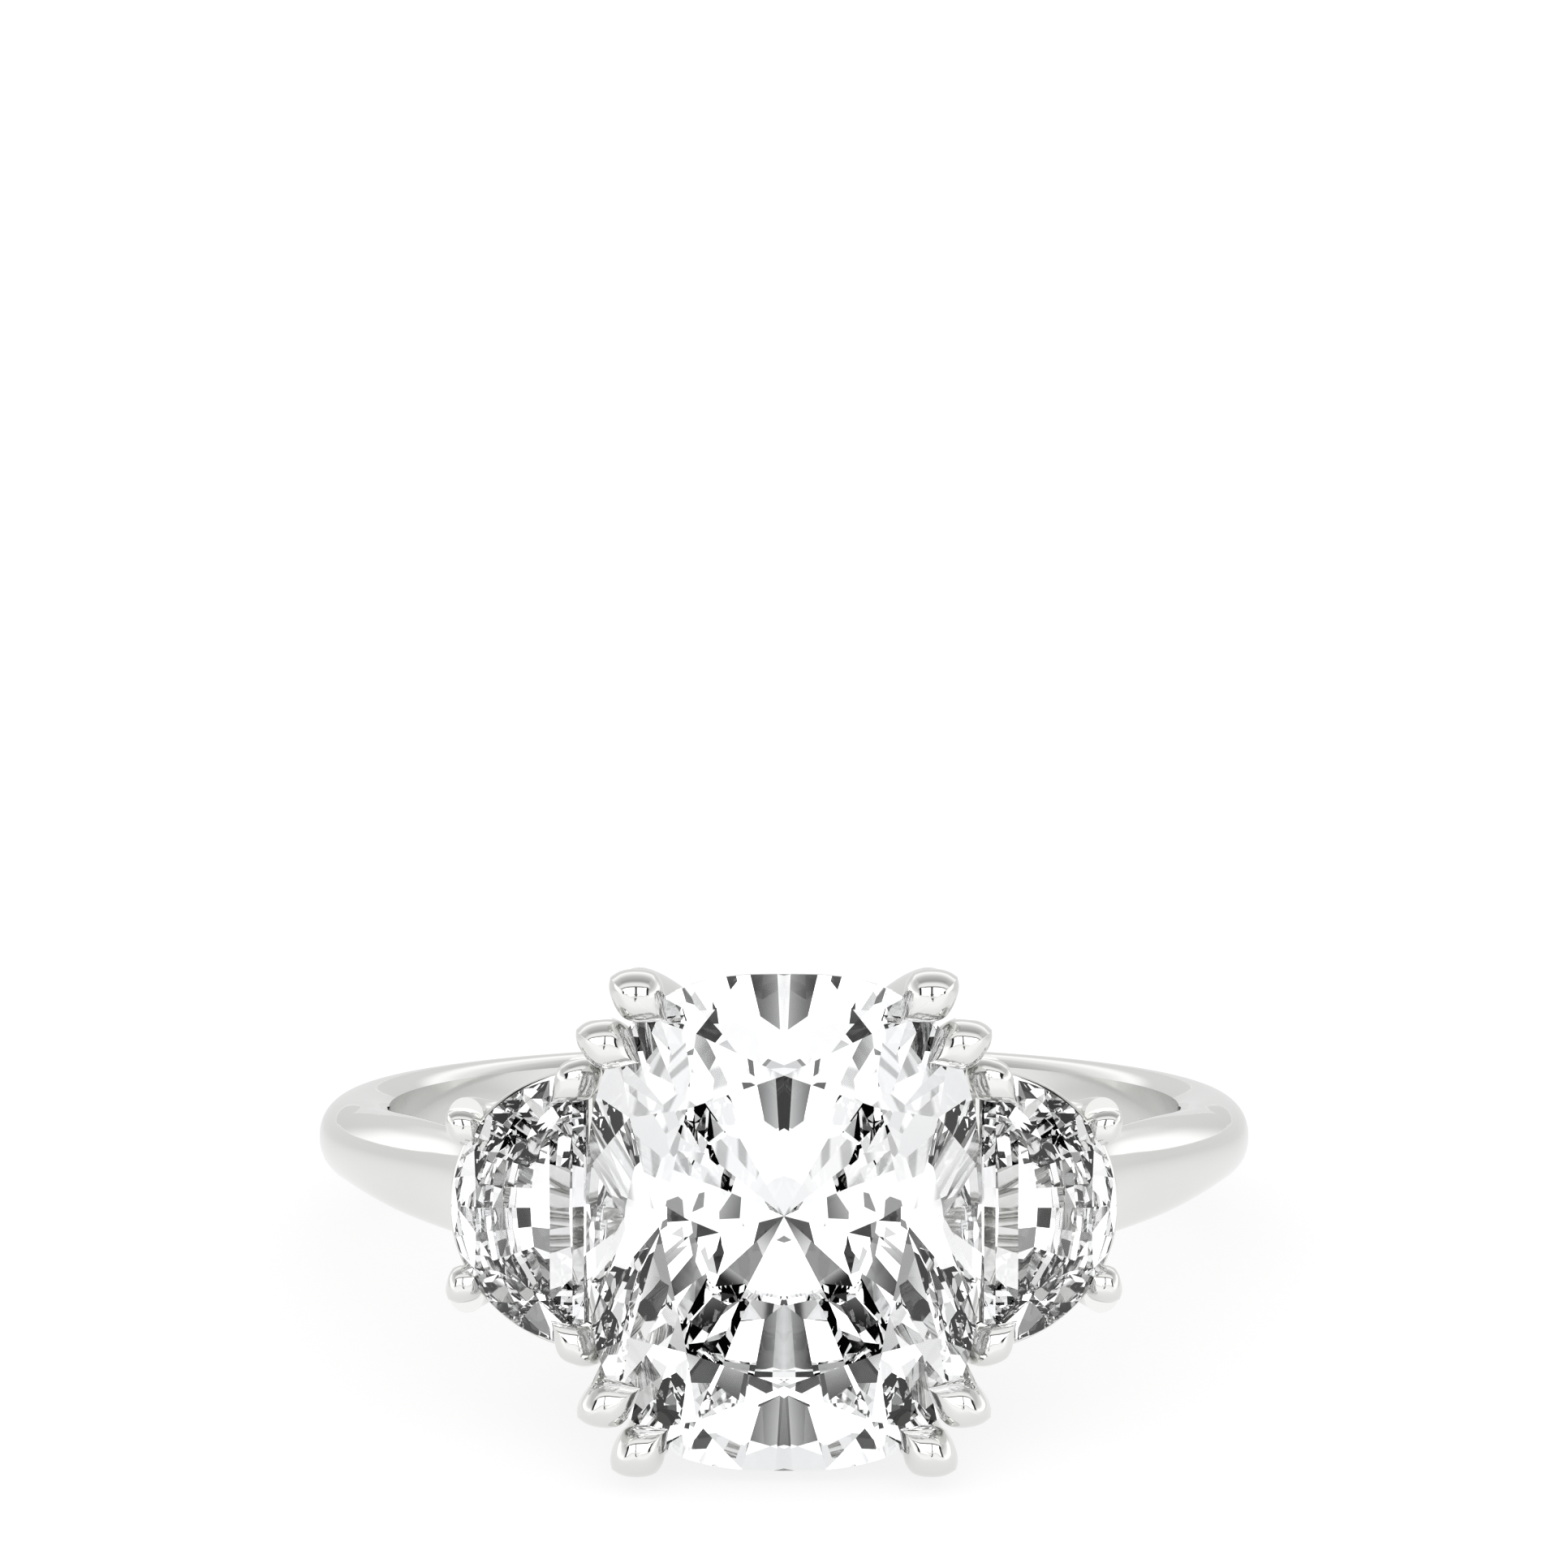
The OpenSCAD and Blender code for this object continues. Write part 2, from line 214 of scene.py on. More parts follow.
def band():
    up = smooth(BRANCH_TABLE, 8)
    side = [(*branch(r[0]), r[1], r[2]) for r in up]
    steps = 120
    turn = [SHOULDER_A - (math.pi + 2 * SHOULDER_A) * k / steps for k in range(1, steps)]
    low = [(OUT_R * math.cos(a), OUT_R * math.sin(a), SHANK_T + 0.25, SHANK_W) for a in turn]
    rows = np.array(side[::-1] + low + [(-q[0], q[1], q[2], q[3]) for q in side])
    n = 64
    a = (np.arange(n) + 0.5) * 2 * math.pi / n
    rings = []
    for i, r in enumerate(rows):
        t = unit(rows[min(i + 1, len(rows) - 1)][:2] - rows[max(i - 1, 0)][:2])
        inward = np.array([t[1], -t[0]])
        depth = r[2] / 2 * (1 - np.cos(a))
        q = r[:2] + inward * depth[:, None]
        rings.append(np.column_stack([q[:, 0], -r[3] / 2 * power(np.sin(a), 0.9), q[:, 1]]))
    return solid("band", rings)


# ------------------------------------------------------------------ trellis
# Share of the height, way out in x and y of the outer and of the inner strand,
# radius share, share of CROSS_STEP
RISE_TABLE = [
    (0.00, 0.000, 0.00, 0.000, 0.00, 0.90, 1.00),
    (0.15, 0.330, 0.21, 0.365, 0.20, 0.95, 0.80),
    (0.33, 0.577, 0.47, 0.597, 0.44, 1.03, 0.30),
    (0.52, 0.757, 0.70, 0.766, 0.63, 1.06, 0.00),
    (0.70, 0.889, 0.87, 0.886, 0.81, 1.03, 0.00),
    (0.89, 0.973, 0.98, 0.968, 0.95, 0.93, 0.00),
    (1.00, 1.000, 1.00, 1.000, 1.00, 0.85, 0.00)]
# Angle from the X axis, height over the finger hole, distance in y, radius
# share, share of CROSS_STEP
ARM_TABLE = [
    (24, 0.42, 0.20, 0.84, 0.00),
    (33, 0.38, 0.28, 0.88, 0.00),
    (42, 0.37, 0.42, 0.88, 0.00),
    (49, 0.36, 0.70, 0.88, 0.00),
    (55, 0.36, 0.97, 0.88, 0.00),
    (63, 0.38, 1.27, 0.88, 0.00),
    (71, 0.45, 1.52, 0.88, 0.15),
    (78, 0.62, 1.72, 0.88, 0.45),
    (84, 0.87, 1.92, 0.88, 0.80)]
INNER_CROSS = (1.02, -0.02)
CLAW_BASE = GIRDLE_Z + 0.08
END_CORNER = (END_FOOT[0] + 0.48, END_FOOT[1] + 0.26)
SIDE_CORNER = (SIDE_FOOT[0] + 0.50, SIDE_FOOT[1] + 0.15)
END_HALF = (0.46, 0.56)
SIDE_HALF = (0.46, 0.50)


def strand(foot, inner, under):
    cy = INNER_CROSS[0] if inner else CROSS_Y
    cz = CROSS_Z + (INNER_CROSS[1] if inner else 0)
    rows = []
    for r in ARM_TABLE:
        rr = HOLE_R + r[1] + (0.22 if inner else 0)
        a = math.radians(r[0])
        rows.append((-rr * math.cos(a), -r[2] * (cy / CROSS_Y if inner else 1) + under * r[4],
                     rr * math.sin(a), PRONG_D / 2 * r[3]))
    for r in RISE_TABLE:
        x, y = (r[3], r[4]) if inner else (r[1], r[2])
        rows.append((foot[0] * x - under * r[6] / 2, -mix(cy, foot[1], y) + under * r[6],
                     mix(cz, CLAW_BASE, r[0]), PRONG_D / 2 * r[5]))
    return smooth(rows, 7)


# Outline of a claw from above: share of the way from its outer corner to its
# tip, share of its half width
LEAF = [(0.00, 0.00), (0.05, 0.30), (0.14, 0.57), (0.28, 0.83), (0.40, 0.97), (0.50, 1.00),
        (0.64, 0.86), (0.78, 0.56), (0.90, 0.24), (1.00, 0.00)]
LEAF_TOP = 0.44         # where the claw is highest


def leaf_cap(corner, tip, half, base, top, tip_h, levels=16, skirt=0.06):
    """The rounded claw over a prong: a dome on a leaf-shaped outline that runs to a point.
    half is its half width on the left and on the right of the way to the tip."""
    corner, tip = np.array(corner, float), np.array(tip, float)
    length = np.linalg.norm(tip - corner)
    d = (tip - corner) / length
    e = np.array([-d[1], d[0]])
    one = smooth(LEAF, 7)
    t = np.concatenate([one[:, 0], one[-2:0:-1, 0]])
    w = np.concatenate([one[:, 1] * half[0], -one[-2:0:-1, 1] * half[1]])
    ahead = np.clip((t - LEAF_TOP) / (1 - LEAF_TOP), 0, 1)
    edge = tip_h * ahead ** 1.2
    ease = ahead ** 2
    p = mix(2.7, 1.8, ease)
    q = mix(2.1, 1.25, ease)

    def ring(share, height):
        along = (LEAF_TOP + (t - LEAF_TOP) * share) * length
        plan = corner + along[:, None] * d + (w * share)[:, None] * e
        return np.column_stack([plan, base + height])
    rings = [ring(1.0, np.full(len(t), -skirt)), ring(1.0, edge)]
    for k in range(1, levels + 1):
        share = max(math.cos(math.pi / 2 * k / levels), 0.02) ** 0.9
        rings.append(ring(share, edge + (top - edge) * (1 - share ** p) ** (1 / q)))
    rings = np.array(rings)[:, ::-1]
    return rings


def trellis():
    side = (-0.45, -0.89, 0)
    made = []
    for inner, foot, tip, part in ((False, END_FOOT, END_TIP, 1.0), (True, SIDE_FOOT, SIDE_TIP, 0.5)):
        claw = leaf_cap(SIDE_CORNER if inner else END_CORNER, tip, SIDE_HALF if inner else END_HALF,
                        CLAW_BASE, 0.74, 0.33 if inner else 0.24)
        for under in (CROSS_STEP, 0.0):
            shaft = tube(strand(foot, inner, under * part), side)
            x = 1 if under else -1
            made.append(mirrored(shaft, x, 1))
            made.append(mirrored(shaft, -x, -1))
        for sx in (1, -1):
            for sy in (1, -1):
                made.append(mirrored(claw, sx, sy))
    for k, rings in enumerate(made):
        solid("wire.%d" % k, rings)


# ------------------------------------------------------------------ side seats
SWEEP_REACH = MOON_AT[0] + 2.33
# Share of the way out in x, y, height over the crossing, radius share, flatness
SWEEP_TABLE = [
    (0.13, 1.50, 0.00, 0.80, 1.00),
    (0.32, 1.60, 0.06, 0.90, 1.00),
    (0.52, 1.68, 0.12, 0.98, 1.05),
    (0.72, 1.67, 0.30, 0.93, 1.16),
    (0.86, 1.63, 0.61, 0.88, 1.26),
    (0.94, 1.66, 1.02, 0.90, 1.20),
    (0.985, 1.73, 1.46, 0.97, 1.08),
    (1.00, 1.75, 1.85, 1.00, 1.00)]
OUTER_TIP = (MOON_AT[0] + 1.98, 1.2)
INNER_FOOT = (0.02, MOON_L / 2 + 0.03)
INNER_TIP = (0.58, MOON_L / 2 - 0.5)


def on_moon_seat(points):
    """From a side stone's own plane to the ring frame, on the right side."""
    p = np.asarray(points, float)
    a = math.radians(MOON_SLOPE)
    out = np.empty_like(p)
    out[..., 0] = MOON_AT[0] + p[..., 0] * math.cos(a) + p[..., 2] * math.sin(a)
    out[..., 1] = p[..., 1]
    out[..., 2] = MOON_AT[1] - p[..., 0] * math.sin(a) + p[..., 2] * math.cos(a)
    return out


def moon_outline(depth, length, shift, n=96, corner=0.0):
    """A half-moon: straight on one side, round on the other, as x and y."""
    arc = np.linspace(-90, 90, n // 2 + 1) * math.pi / 180
    pts = np.column_stack([shift + depth * np.cos(arc), length / 2 * np.sin(arc)])
    chord = np.linspace(length / 2, -length / 2, n // 4 + 2)[1:-1]
    return np.vstack([pts, np.column_stack([np.full(len(chord), shift), chord])])


def wall_depth(u):
    return WALL_H * (1.08 - 0.42 * (np.maximum(0, u) / MOON_D) ** 2)


def seat_wall():
    rim, th = 0.13, 0.47
    levels = smooth([(1.0, -0.13), (0.97, -0.07), (0.7, 0.01), (0.35, 0.02), (0.05, -0.01), (0.0, -0.06)], 4)
    outer = []
    for down, out in levels:
        o = moon_outline(MOON_D + 2 * rim + 2 * out, MOON_L + 2 * rim + 2 * out, -rim)
        outer.append(np.column_stack([o, -0.08 - down * wall_depth(o[:, 0])]))
    inner = []
    for z in (-WALL_H - 1, 1):
        o = moon_outline(MOON_D + 2 * rim - 2 * th, MOON_L + 2 * rim - 2.4 * th, -rim + th)
        inner.append(np.column_stack([o, np.full(len(o), z)]))
    return on_moon_seat(outer), on_moon_seat(inner)


def outer_prong():
    rows = smooth([(SWEEP_REACH * r[0], -r[1], CROSS_Z + r[2], SMALL_PRONG_D / 2 * r[3], r[4])
                   for r in SWEEP_TABLE], 8)
    claw = leaf_cap((SWEEP_REACH + 0.36, -1.82), (OUTER_TIP[0], -OUTER_TIP[1]), (0.37, 0.37), CROSS_Z + 1.83, 0.46, 0.20)
    return [tube(rows, (-0.6, -0.5, 0.6)), claw]


def inner_prong():
    f = INNER_FOOT
    post = [(f[0], -f[1], -WALL_H - 0.1, SMALL_PRONG_D / 2 * 0.94),
            (f[0], -f[1], -WALL_H - 0.04, SMALL_PRONG_D / 2 * 1.12),
            (f[0], -f[1], -WALL_H / 2, SMALL_PRONG_D / 2 * 1.14),
            (f[0], -f[1], 0.04, SMALL_PRONG_D / 2 * 1.14)]
    claw = leaf_cap((f[0] - 0.30, -f[1] - 0.29), (INNER_TIP[0], -INNER_TIP[1]), (0.42, 0.42), 0.03, 0.52, 0.30)
    return [on_moon_seat(tube(post, (0.6, 0.8, 0))), on_moon_seat(claw)]


# ------------------------------------------------------------------ stones
def flat_sided(planes, size=30.0):
    """The convex solid inside planes (normal, distance): its points and faces."""
    normals = np.array([unit(n) for n, _ in planes])
    dist = np.array([d / np.linalg.norm(n) for n, d in planes])
    points, faces = [], []
    for i, (n, d) in enumerate(zip(normals, dist)):
        u = unit(np.cross(n, (0, 0, 1) if abs(n[2]) < 0.9 else (1, 0, 0)))
        v = np.cross(n, u)
        poly = [n * d + size * (a * u + b * v) for a, b in ((-1, -1), (1, -1), (1, 1), (-1, 1))]
        for j in range(len(normals)):
            if j == i or len(poly) < 3:
                continue
            h = [float(np.dot(normals[j], q) - dist[j]) for q in poly]
            cut = []
            for k in range(len(poly)):
                a, b, ha, hb = poly[k], poly[(k + 1) % len(poly)], h[k], h[(k + 1) % len(poly)]
                if ha <= 1e-9:
                    cut.append(a)
                if (ha < -1e-9 and hb > 1e-9) or (ha > 1e-9 and hb < -1e-9):
                    cut.append(a + (b - a) * ha / (ha - hb))
            poly = cut
        if len(poly) < 3:
            continue
        face = []
        for q in poly:
            near = [k for k, r in enumerate(points) if np.dot(q - r, q - r) < 0.006 ** 2]
            if near:
                k = near[0]
            else:
                k = len(points)
                points.append(q)
            if k not in face:
                face.append(k)
        if len(face) >= 3:
            faces.append(face)
    return np.array(points), faces


def through(a, b, c, inside):
    """The plane through three points, with its normal away from inside."""
    n = unit(np.cross(np.array(b) - a, np.array(c) - a))
    d = float(np.dot(n, a))
    if np.dot(n, inside) > d:
        n, d = -n, -d
    return n, d


def tangent_plane(g, n2, point, z, inside):
    """The plane that holds the outline's tangent at g, at height z, and a point."""
    a = np.array([g[0], g[1], z])
    b = a + np.array([-n2[1], n2[0], 0.0])
    return through(a, b, np.array(point), inside)


def cushion_at(a, e=2.85):
    """Point and outward direction of the centre stone's girdle at a parameter angle."""
    c, s = math.cos(a), math.sin(a)
    x = STONE_W / 2 * math.copysign(abs(c) ** (2 / e), c)
    y = STONE_L / 2 * math.copysign(abs(s) ** (2 / e), s)
    n = unit((math.copysign(abs(x * 2 / STONE_W) ** (e - 1), c) / STONE_W,
              math.copysign(abs(y * 2 / STONE_L) ** (e - 1), s) / STONE_L))
    return np.array([x, y]), n


def meet(g1, n1, g2, n2):
    """Where two tangents of the outline cross."""
    return np.linalg.solve(np.array([n1, n2]), np.array([np.dot(g1, n1), np.dot(g2, n2)]))


MAINS = 24
KNEES = ((0.333, 0.769), (0.45, 0.60))  # where a main facet's slope changes: share of the way out, share of the depth
LOWER_REACH = (0.30, 0.20)              # how near the culet the lower girdle facets come


def centre_planes():
    top, low = GIRDLE_Z + GIRDLE_T / 2, GIRDLE_Z - GIRDLE_T / 2
    table, culet = top + CROWN_H, low - PAVILION_H
    inside = np.array([0, 0, GIRDLE_Z])
    planes = [((0, 0, 1), table)]
    count = 72
    for k in range(count):
        g, n = cushion_at(2 * math.pi * (k + 0.5) / count)
        planes.append(((n[0], n[1], 0), float(np.dot(g, n))))

    def down(g, share, knee):
        """On the line from the girdle point g over the knee to the culet, share of the way out."""
        deep = mix(0, knee[1], (1 - share) / (1 - knee[0])) if share > knee[0] else mix(1, knee[1], share / knee[0])
        return np.array([g[0] * share, g[1] * share, mix(low, culet, deep)])

    for i in range(8):
        a, b = math.radians(45 * i), math.radians(45 * (i + 1))
        g1, n1 = cushion_at(a)
        g2, n2 = cushion_at(b)
        x0 = meet(g1, n1, g2, n2)
        t1 = np.array([*(g1 * TABLE_SHARE), table])
        t2 = np.array([*(g2 * TABLE_SHARE), table])
        planes.append(tangent_plane(g1, n1, t1, top, inside))
        share = 0.59
        star = np.array([*(x0 * mix(1, TABLE_SHARE, share)), mix(top, table, share)])
        planes.append(through(t1, t2, star, inside))
        for f in (0.25, 0.75):
            g, n = cushion_at(mix(a, b, f))
            planes.append(tangent_plane(g, n, star, top, inside))
    for i in range(MAINS):
        a, b = 2 * math.pi * i / MAINS, 2 * math.pi * (i + 1) / MAINS
        g1, n1 = cushion_at(a)
        g2, n2 = cushion_at(b)
        x0 = meet(g1, n1, g2, n2)
        turn = i % (MAINS // 2)
        reach = LOWER_REACH[min(turn, MAINS // 2 - 1 - turn) % 2]
        for f in (0.20, 0.80):
            g, n = cushion_at(mix(a, b, f))
            planes.append(tangent_plane(g, n, down(x0, reach, KNEES[0]), low, inside))
        knee = down(g1, KNEES[i % 2][0], KNEES[i % 2])
        planes.append(tangent_plane(g1, n1, knee, low, inside))
        along = np.array([-n1[1], n1[0], 0.0])
        planes.append(through(knee, knee + along, np.array([0, 0, culet]), inside))
    return planes


def moon_at(a):
    x, y = MOON_D * math.cos(a), MOON_L / 2 * math.sin(a)
    n = unit((math.cos(a) / MOON_D, math.sin(a) / (MOON_L / 2)))
    return np.array([x, y]), n


def moon_planes():
    crown, pavilion, mid = 0.5, 1.26, 0.43 * MOON_D
    top, low = GIRDLE_T / 2, -GIRDLE_T / 2
    table, culet = top + crown, low - pavilion
    centre = np.array([mid, 0.0])
    inside = np.array([mid, 0, 0])
    share = 0.60
    keel = 1.02             # half the length of the line where the pavilion facets meet
    reach = 0.25
    planes = [((0, 0, 1), table), ((-1, 0, 0), 0.0)]
    for k in range(49):
        g, n = moon_at(math.radians(-88.5 + 177 * k / 48))
        planes.append(((n[0], n[1], 0), float(np.dot(g, n))))
    # Two steps along the straight side, above and below
    for (u0, z0), (u1, z1) in (((0.0, top), (0.16, top + 0.22)), ((0.16, top + 0.22), (0.52, table)),
                               ((0.0, low), (0.18, low - 0.35)), ((0.18, low - 0.35), (mid, culet))):
        planes.append(through(np.array([u0, 0, z0]), np.array([u0, 1, z0]), np.array([u1, 0, z1]), inside))
    mains = [math.radians(a) for a in (-79, -47.4, -15.8, 15.8, 47.4, 79)]
    for i, a in enumerate(mains):
        g1, n1 = moon_at(a)
        t1 = np.array([*(centre + (g1 - centre) * share), table])
        planes.append(tangent_plane(g1, n1, t1, top, inside))
        planes.append(tangent_plane(g1, n1, (mid, keel * math.sin(a), culet), low, inside))
        if i == len(mains) - 1:
            continue
        b = mains[i + 1]
        g2, n2 = moon_at(b)
        x0 = meet(g1, n1, g2, n2)
        t2 = np.array([*(centre + (g2 - centre) * share), table])
        k = 0.5
        star = np.array([*(centre + (x0 - centre) * mix(1, share, k)), mix(top, table, k)])
        planes.append(through(t1, t2, star, inside))
        for f in (0.25, 0.75):
            g, n = moon_at(mix(a, b, f))
            planes.append(tangent_plane(g, n, star, top, inside))
            foot = centre + np.array([0, keel * math.sin(mix(a, b, 0.5))])
            planes.append(tangent_plane(g, n, np.array([*(foot + (x0 - foot) * reach), mix(culet, low, reach)]), low, inside))
    return planes


def stone_points(which, grow=0.0):
    """Points and faces of a stone in the ring frame. grow moves every facet outwards."""
    planes = centre_planes() if which == "center" else moon_planes()
    planes = [(n, d + grow * float(np.linalg.norm(n))) for n, d in planes]
    points, faces = flat_sided(planes)
    if which != "center":
        points = on_moon_seat(points)
    if which == "left":
        points = points * np.array([-1.0, 1.0, 1.0])
        faces = [f[::-1] for f in faces]
    return points, faces


def stone_mesh(name, which, grow=0.0):
    points, faces = stone_points(which, grow)
    mesh = bpy.data.meshes.new(name)
    mesh.from_pydata(laid(points).tolist(), [], faces)
    mesh.update()
    mesh.validate()
    obj = bpy.data.objects.new(name, mesh)
    bpy.context.scene.collection.objects.link(obj)
    return obj


# ------------------------------------------------------------------ materials
def node_tree(material):
    material.use_nodes = True
    tree = material.node_tree
    tree.nodes.clear()
    out = tree.nodes.new("ShaderNodeOutputMaterial")
    bsdf = tree.nodes.new("ShaderNodeBsdfPrincipled")
    tree.links.new(bsdf.outputs["BSDF"], out.inputs["Surface"])
    coords = tree.nodes.new("ShaderNodeTexCoord")
    return tree, bsdf, coords


def noise(tree, coords, scale, detail=3.0, rough=0.5):
    tex = tree.nodes.new("ShaderNodeTexNoise")
    tex.inputs["Scale"].default_value = scale
    tex.inputs["Detail"].default_value = detail
    tex.inputs["Roughness"].default_value = rough
    tree.links.new(coords.outputs["Object"], tex.inputs["Vector"])
    return tex


def ramp(tree, source, low, high, at=(0.3, 0.7)):
    node = tree.nodes.new("ShaderNodeValToRGB")
    node.color_ramp.elements[0].position = at[0]
    node.color_ramp.elements[1].position = at[1]
    node.color_ramp.elements[0].color = (*low, 1) if len(low) == 3 else (low[0],) * 3 + (1,)
    node.color_ramp.elements[1].color = (*high, 1) if len(high) == 3 else (high[0],) * 3 + (1,)
    tree.links.new(source, node.inputs["Fac"])
    return node


def metal_material():
    material = bpy.data.materials.new("polished_metal")
    tree, bsdf, coords = node_tree(material)
    bsdf.inputs["Metallic"].default_value = 1.0
    bsdf.inputs["Specular IOR Level"].default_value = 0.5
    tone = ramp(tree, noise(tree, coords, 260.0, 2.0).outputs["Fac"], (0.720, 0.720, 0.708), (0.745, 0.745, 0.734))
    tree.links.new(tone.outputs["Color"], bsdf.inputs["Base Color"])
    polish = ramp(tree, noise(tree, coords, 420.0, 4.0, 0.6).outputs["Fac"], (0.035,), (0.075,))
    tree.links.new(polish.outputs["Color"], bsdf.inputs["Roughness"])
    fine = noise(tree, coords, 2600.0, 2.0)
    bump = tree.nodes.new("ShaderNodeBump")
    bump.inputs["Strength"].default_value = 0.02
    bump.inputs["Distance"].default_value = 0.00002
    tree.links.new(fine.outputs["Fac"], bump.inputs["Height"])
    tree.links.new(bump.outputs["Normal"], bsdf.inputs["Normal"])
    return material


def diamond_material(name, tint):
    material = bpy.data.materials.new(name)
    tree, bsdf, coords = node_tree(material)
    bsdf.inputs["IOR"].default_value = 2.417
    bsdf.inputs["Transmission Weight"].default_value = 1.0
    bsdf.inputs["Metallic"].default_value = 0.0
    bsdf.inputs["Specular Tint"].default_value = (0.3, 0.3, 0.3, 1.0)
    tone = ramp(tree, noise(tree, coords, 300.0, 1.0).outputs["Fac"], (1.0, 1.0, 1.0), tint)
    tree.links.new(tone.outputs["Color"], bsdf.inputs["Base Color"])
    polish = ramp(tree, noise(tree, coords, 700.0, 2.0).outputs["Fac"], (0.0,), (0.004,))
    tree.links.new(polish.outputs["Color"], bsdf.inputs["Roughness"])
    return material


# ------------------------------------------------------------------ mounting
def build_mounting():
    band()
    trellis()
    for s in (1, -1):
        outer, inner = seat_wall()
        wall = solid("wall.%d" % s, mirrored(outer, s, 1), add=False)
        hollow = solid("hollow.%d" % s, mirrored(inner, s, 1), add=False)
        join(wall, [(hollow, "DIFFERENCE")])
        PARTS.append(wall)
        for sy in (1, -1):
            for rings in outer_prong() + inner_prong():
                solid("prong", mirrored(rings, s, sy))
    base = PARTS[0]
    steps = [(o, "UNION") for o in PARTS[1:]]
    a = np.arange(360) * 2 * math.pi / 360
    hole = [np.column_stack([HOLE_R * np.cos(a), np.full(360, y), HOLE_R * np.sin(a)]) for y in (5.0, -5.0)]
    bore = solid("bore", hole, add=False)
    steps.append((bore, "DIFFERENCE"))
    for which in ("center", "left", "right"):
        steps.append((stone_mesh("seat_" + which, which, 0.012), "DIFFERENCE"))
    join(base, steps)
    return base


def join(base, steps):
    """Applies the joins and cuts to base, keeps its shading, and drops the tools."""
    for tool, _ in steps:
        mesh = tool.data
        if "shade" not in mesh.attributes:
            normals = np.empty(len(mesh.loops) * 3, "f")
            mesh.corner_normals.foreach_get("vector", normals)
            mesh.attributes.new("shade", "FLOAT_VECTOR", "CORNER").data.foreach_set("vector", normals)
    for tool, how in steps:
        if how == "DIFFERENCE":
            data = tool.data.attributes["shade"].data
            normals = np.empty(len(data) * 3, "f")
            data.foreach_get("vector", normals)
            data.foreach_set("vector", -normals)
        mod = base.modifiers.new("join", "BOOLEAN")
        mod.solver = "MANIFOLD"
        mod.operation = how
        mod.object = tool
    graph = bpy.context.evaluated_depsgraph_get()
    mesh = bpy.data.meshes.new_from_object(base.evaluated_get(graph), depsgraph=graph)
    base.modifiers.clear()
    base.data = mesh
    for tool, _ in steps:
        bpy.data.objects.remove(tool)


def finish_shading(obj):
    """The kept normals become the mesh's own, and the helper data goes."""
    mesh = obj.data
    normals = np.empty(len(mesh.loops) * 3, "f")
    mesh.attributes["shade"].data.foreach_get("vector", normals)
    normals = normals.reshape(-1, 3)
    size = np.linalg.norm(normals, axis=1)
    flat = np.empty(len(mesh.polygons) * 3, "f")
    mesh.polygons.foreach_get("normal", flat)
    flat = flat.reshape(-1, 3)
    counts = np.empty(len(mesh.polygons), "i")
    mesh.polygons.foreach_get("loop_total", counts)
    own = np.repeat(flat, counts, axis=0)
    bad = (size < 0.2) | ((normals * own).sum(1) < 0.3 * np.maximum(size, 1e-9))
    normals = np.where(bad[:, None], own, normals / np.maximum(size, 1e-9)[:, None])
    print("corners shaded by their own face:", int(bad.sum()), "of", len(bad))
    mesh.attributes.remove(mesh.attributes["shade"])
    mesh.polygons.foreach_set("use_smooth", [True] * len(mesh.polygons))
    mesh.normals_split_custom_set(normals.tolist())
    mesh.update()


mounting = build_mounting()
mounting.name = "ring_mounting"
mounting.data.name = "ring_mounting"
finish_shading(mounting)
mounting.data.materials.clear()
mounting.data.materials.append(metal_material())
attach(mounting, "root")
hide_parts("mounting")

clear = diamond_material("clear_diamond", (0.975, 0.984, 1.0))
cool = diamond_material("cool_diamond", (0.96, 0.965, 1.0))
for which, node, material in (("center", "center_stone", clear), ("left", "side_stone_left", cool),
                              ("right", "side_stone_right", cool)):
    stone = stone_mesh("cut_" + node, which)
    stone.data.materials.append(material)
    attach(stone, "root")
    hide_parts(node)


# ------------------------------------------------------------------ studio
# Brightness of the room over the ring from the horizon in front (0), over the
# top (90), to the horizon behind (180), and at the sides by height
OVER = [(0, 1.25), (9, 1.20), (12, 0.50), (40, 0.40), (59, 0.30), (62, 0.04), (66, 0.60), (72, 1.20), (88, 1.10),
        (98, 0.62), (106, 0.44), (116, 0.52), (128, 0.62), (138, 0.76), (148, 1.05), (158, 1.30), (167, 0.84), (180, 0.78)]
SIDES = [(0, 1.38), (8, 1.38), (16, 0.92), (26, 0.70), (45, 0.72), (62, 0.74), (90, 0.74)]
SIDE_SPAN = (48, 66, 28, 48)            # where the sides take over: in front, and behind
FRAME = (55, 12, 63, 0.02)              # dim frame of the windows: half width, low, high, brightness
WINDOW = (1.7, 44, 12, 60, 0.7, 1.9)      # from the middle: inner, outer, low, high, softness, brightness
LENS = (18.4, 2.0, 3.2, 0.02)           # height, inner and outer size, brightness
BARS = ((5, 16, 33), (10, 31, 45, 63), 1.0, 2.2)    # upright, level, inner and outer half width
BAR_TONE = (0.02, 0.30)                 # brightness of the upright and of the level bars
PAINTED_FLOOR_BARS = (8, 15, 35)                      # painted dark bars on the floor's glow, seen only through the stones: angle from straight ahead of the head
PAINTED_BAR_LIGHT_SHARE = 0.5                          # share of the floor's glow that is left on these painted bars
PAINTED_SHADE_BEHIND = 0.24                       # painted shade: how much the floor's glow behind the ring is dimmed in what the metal reflects
STAND = (1.6, 2.8, 8)                   # dark stand under the lens: inner and outer half width, height


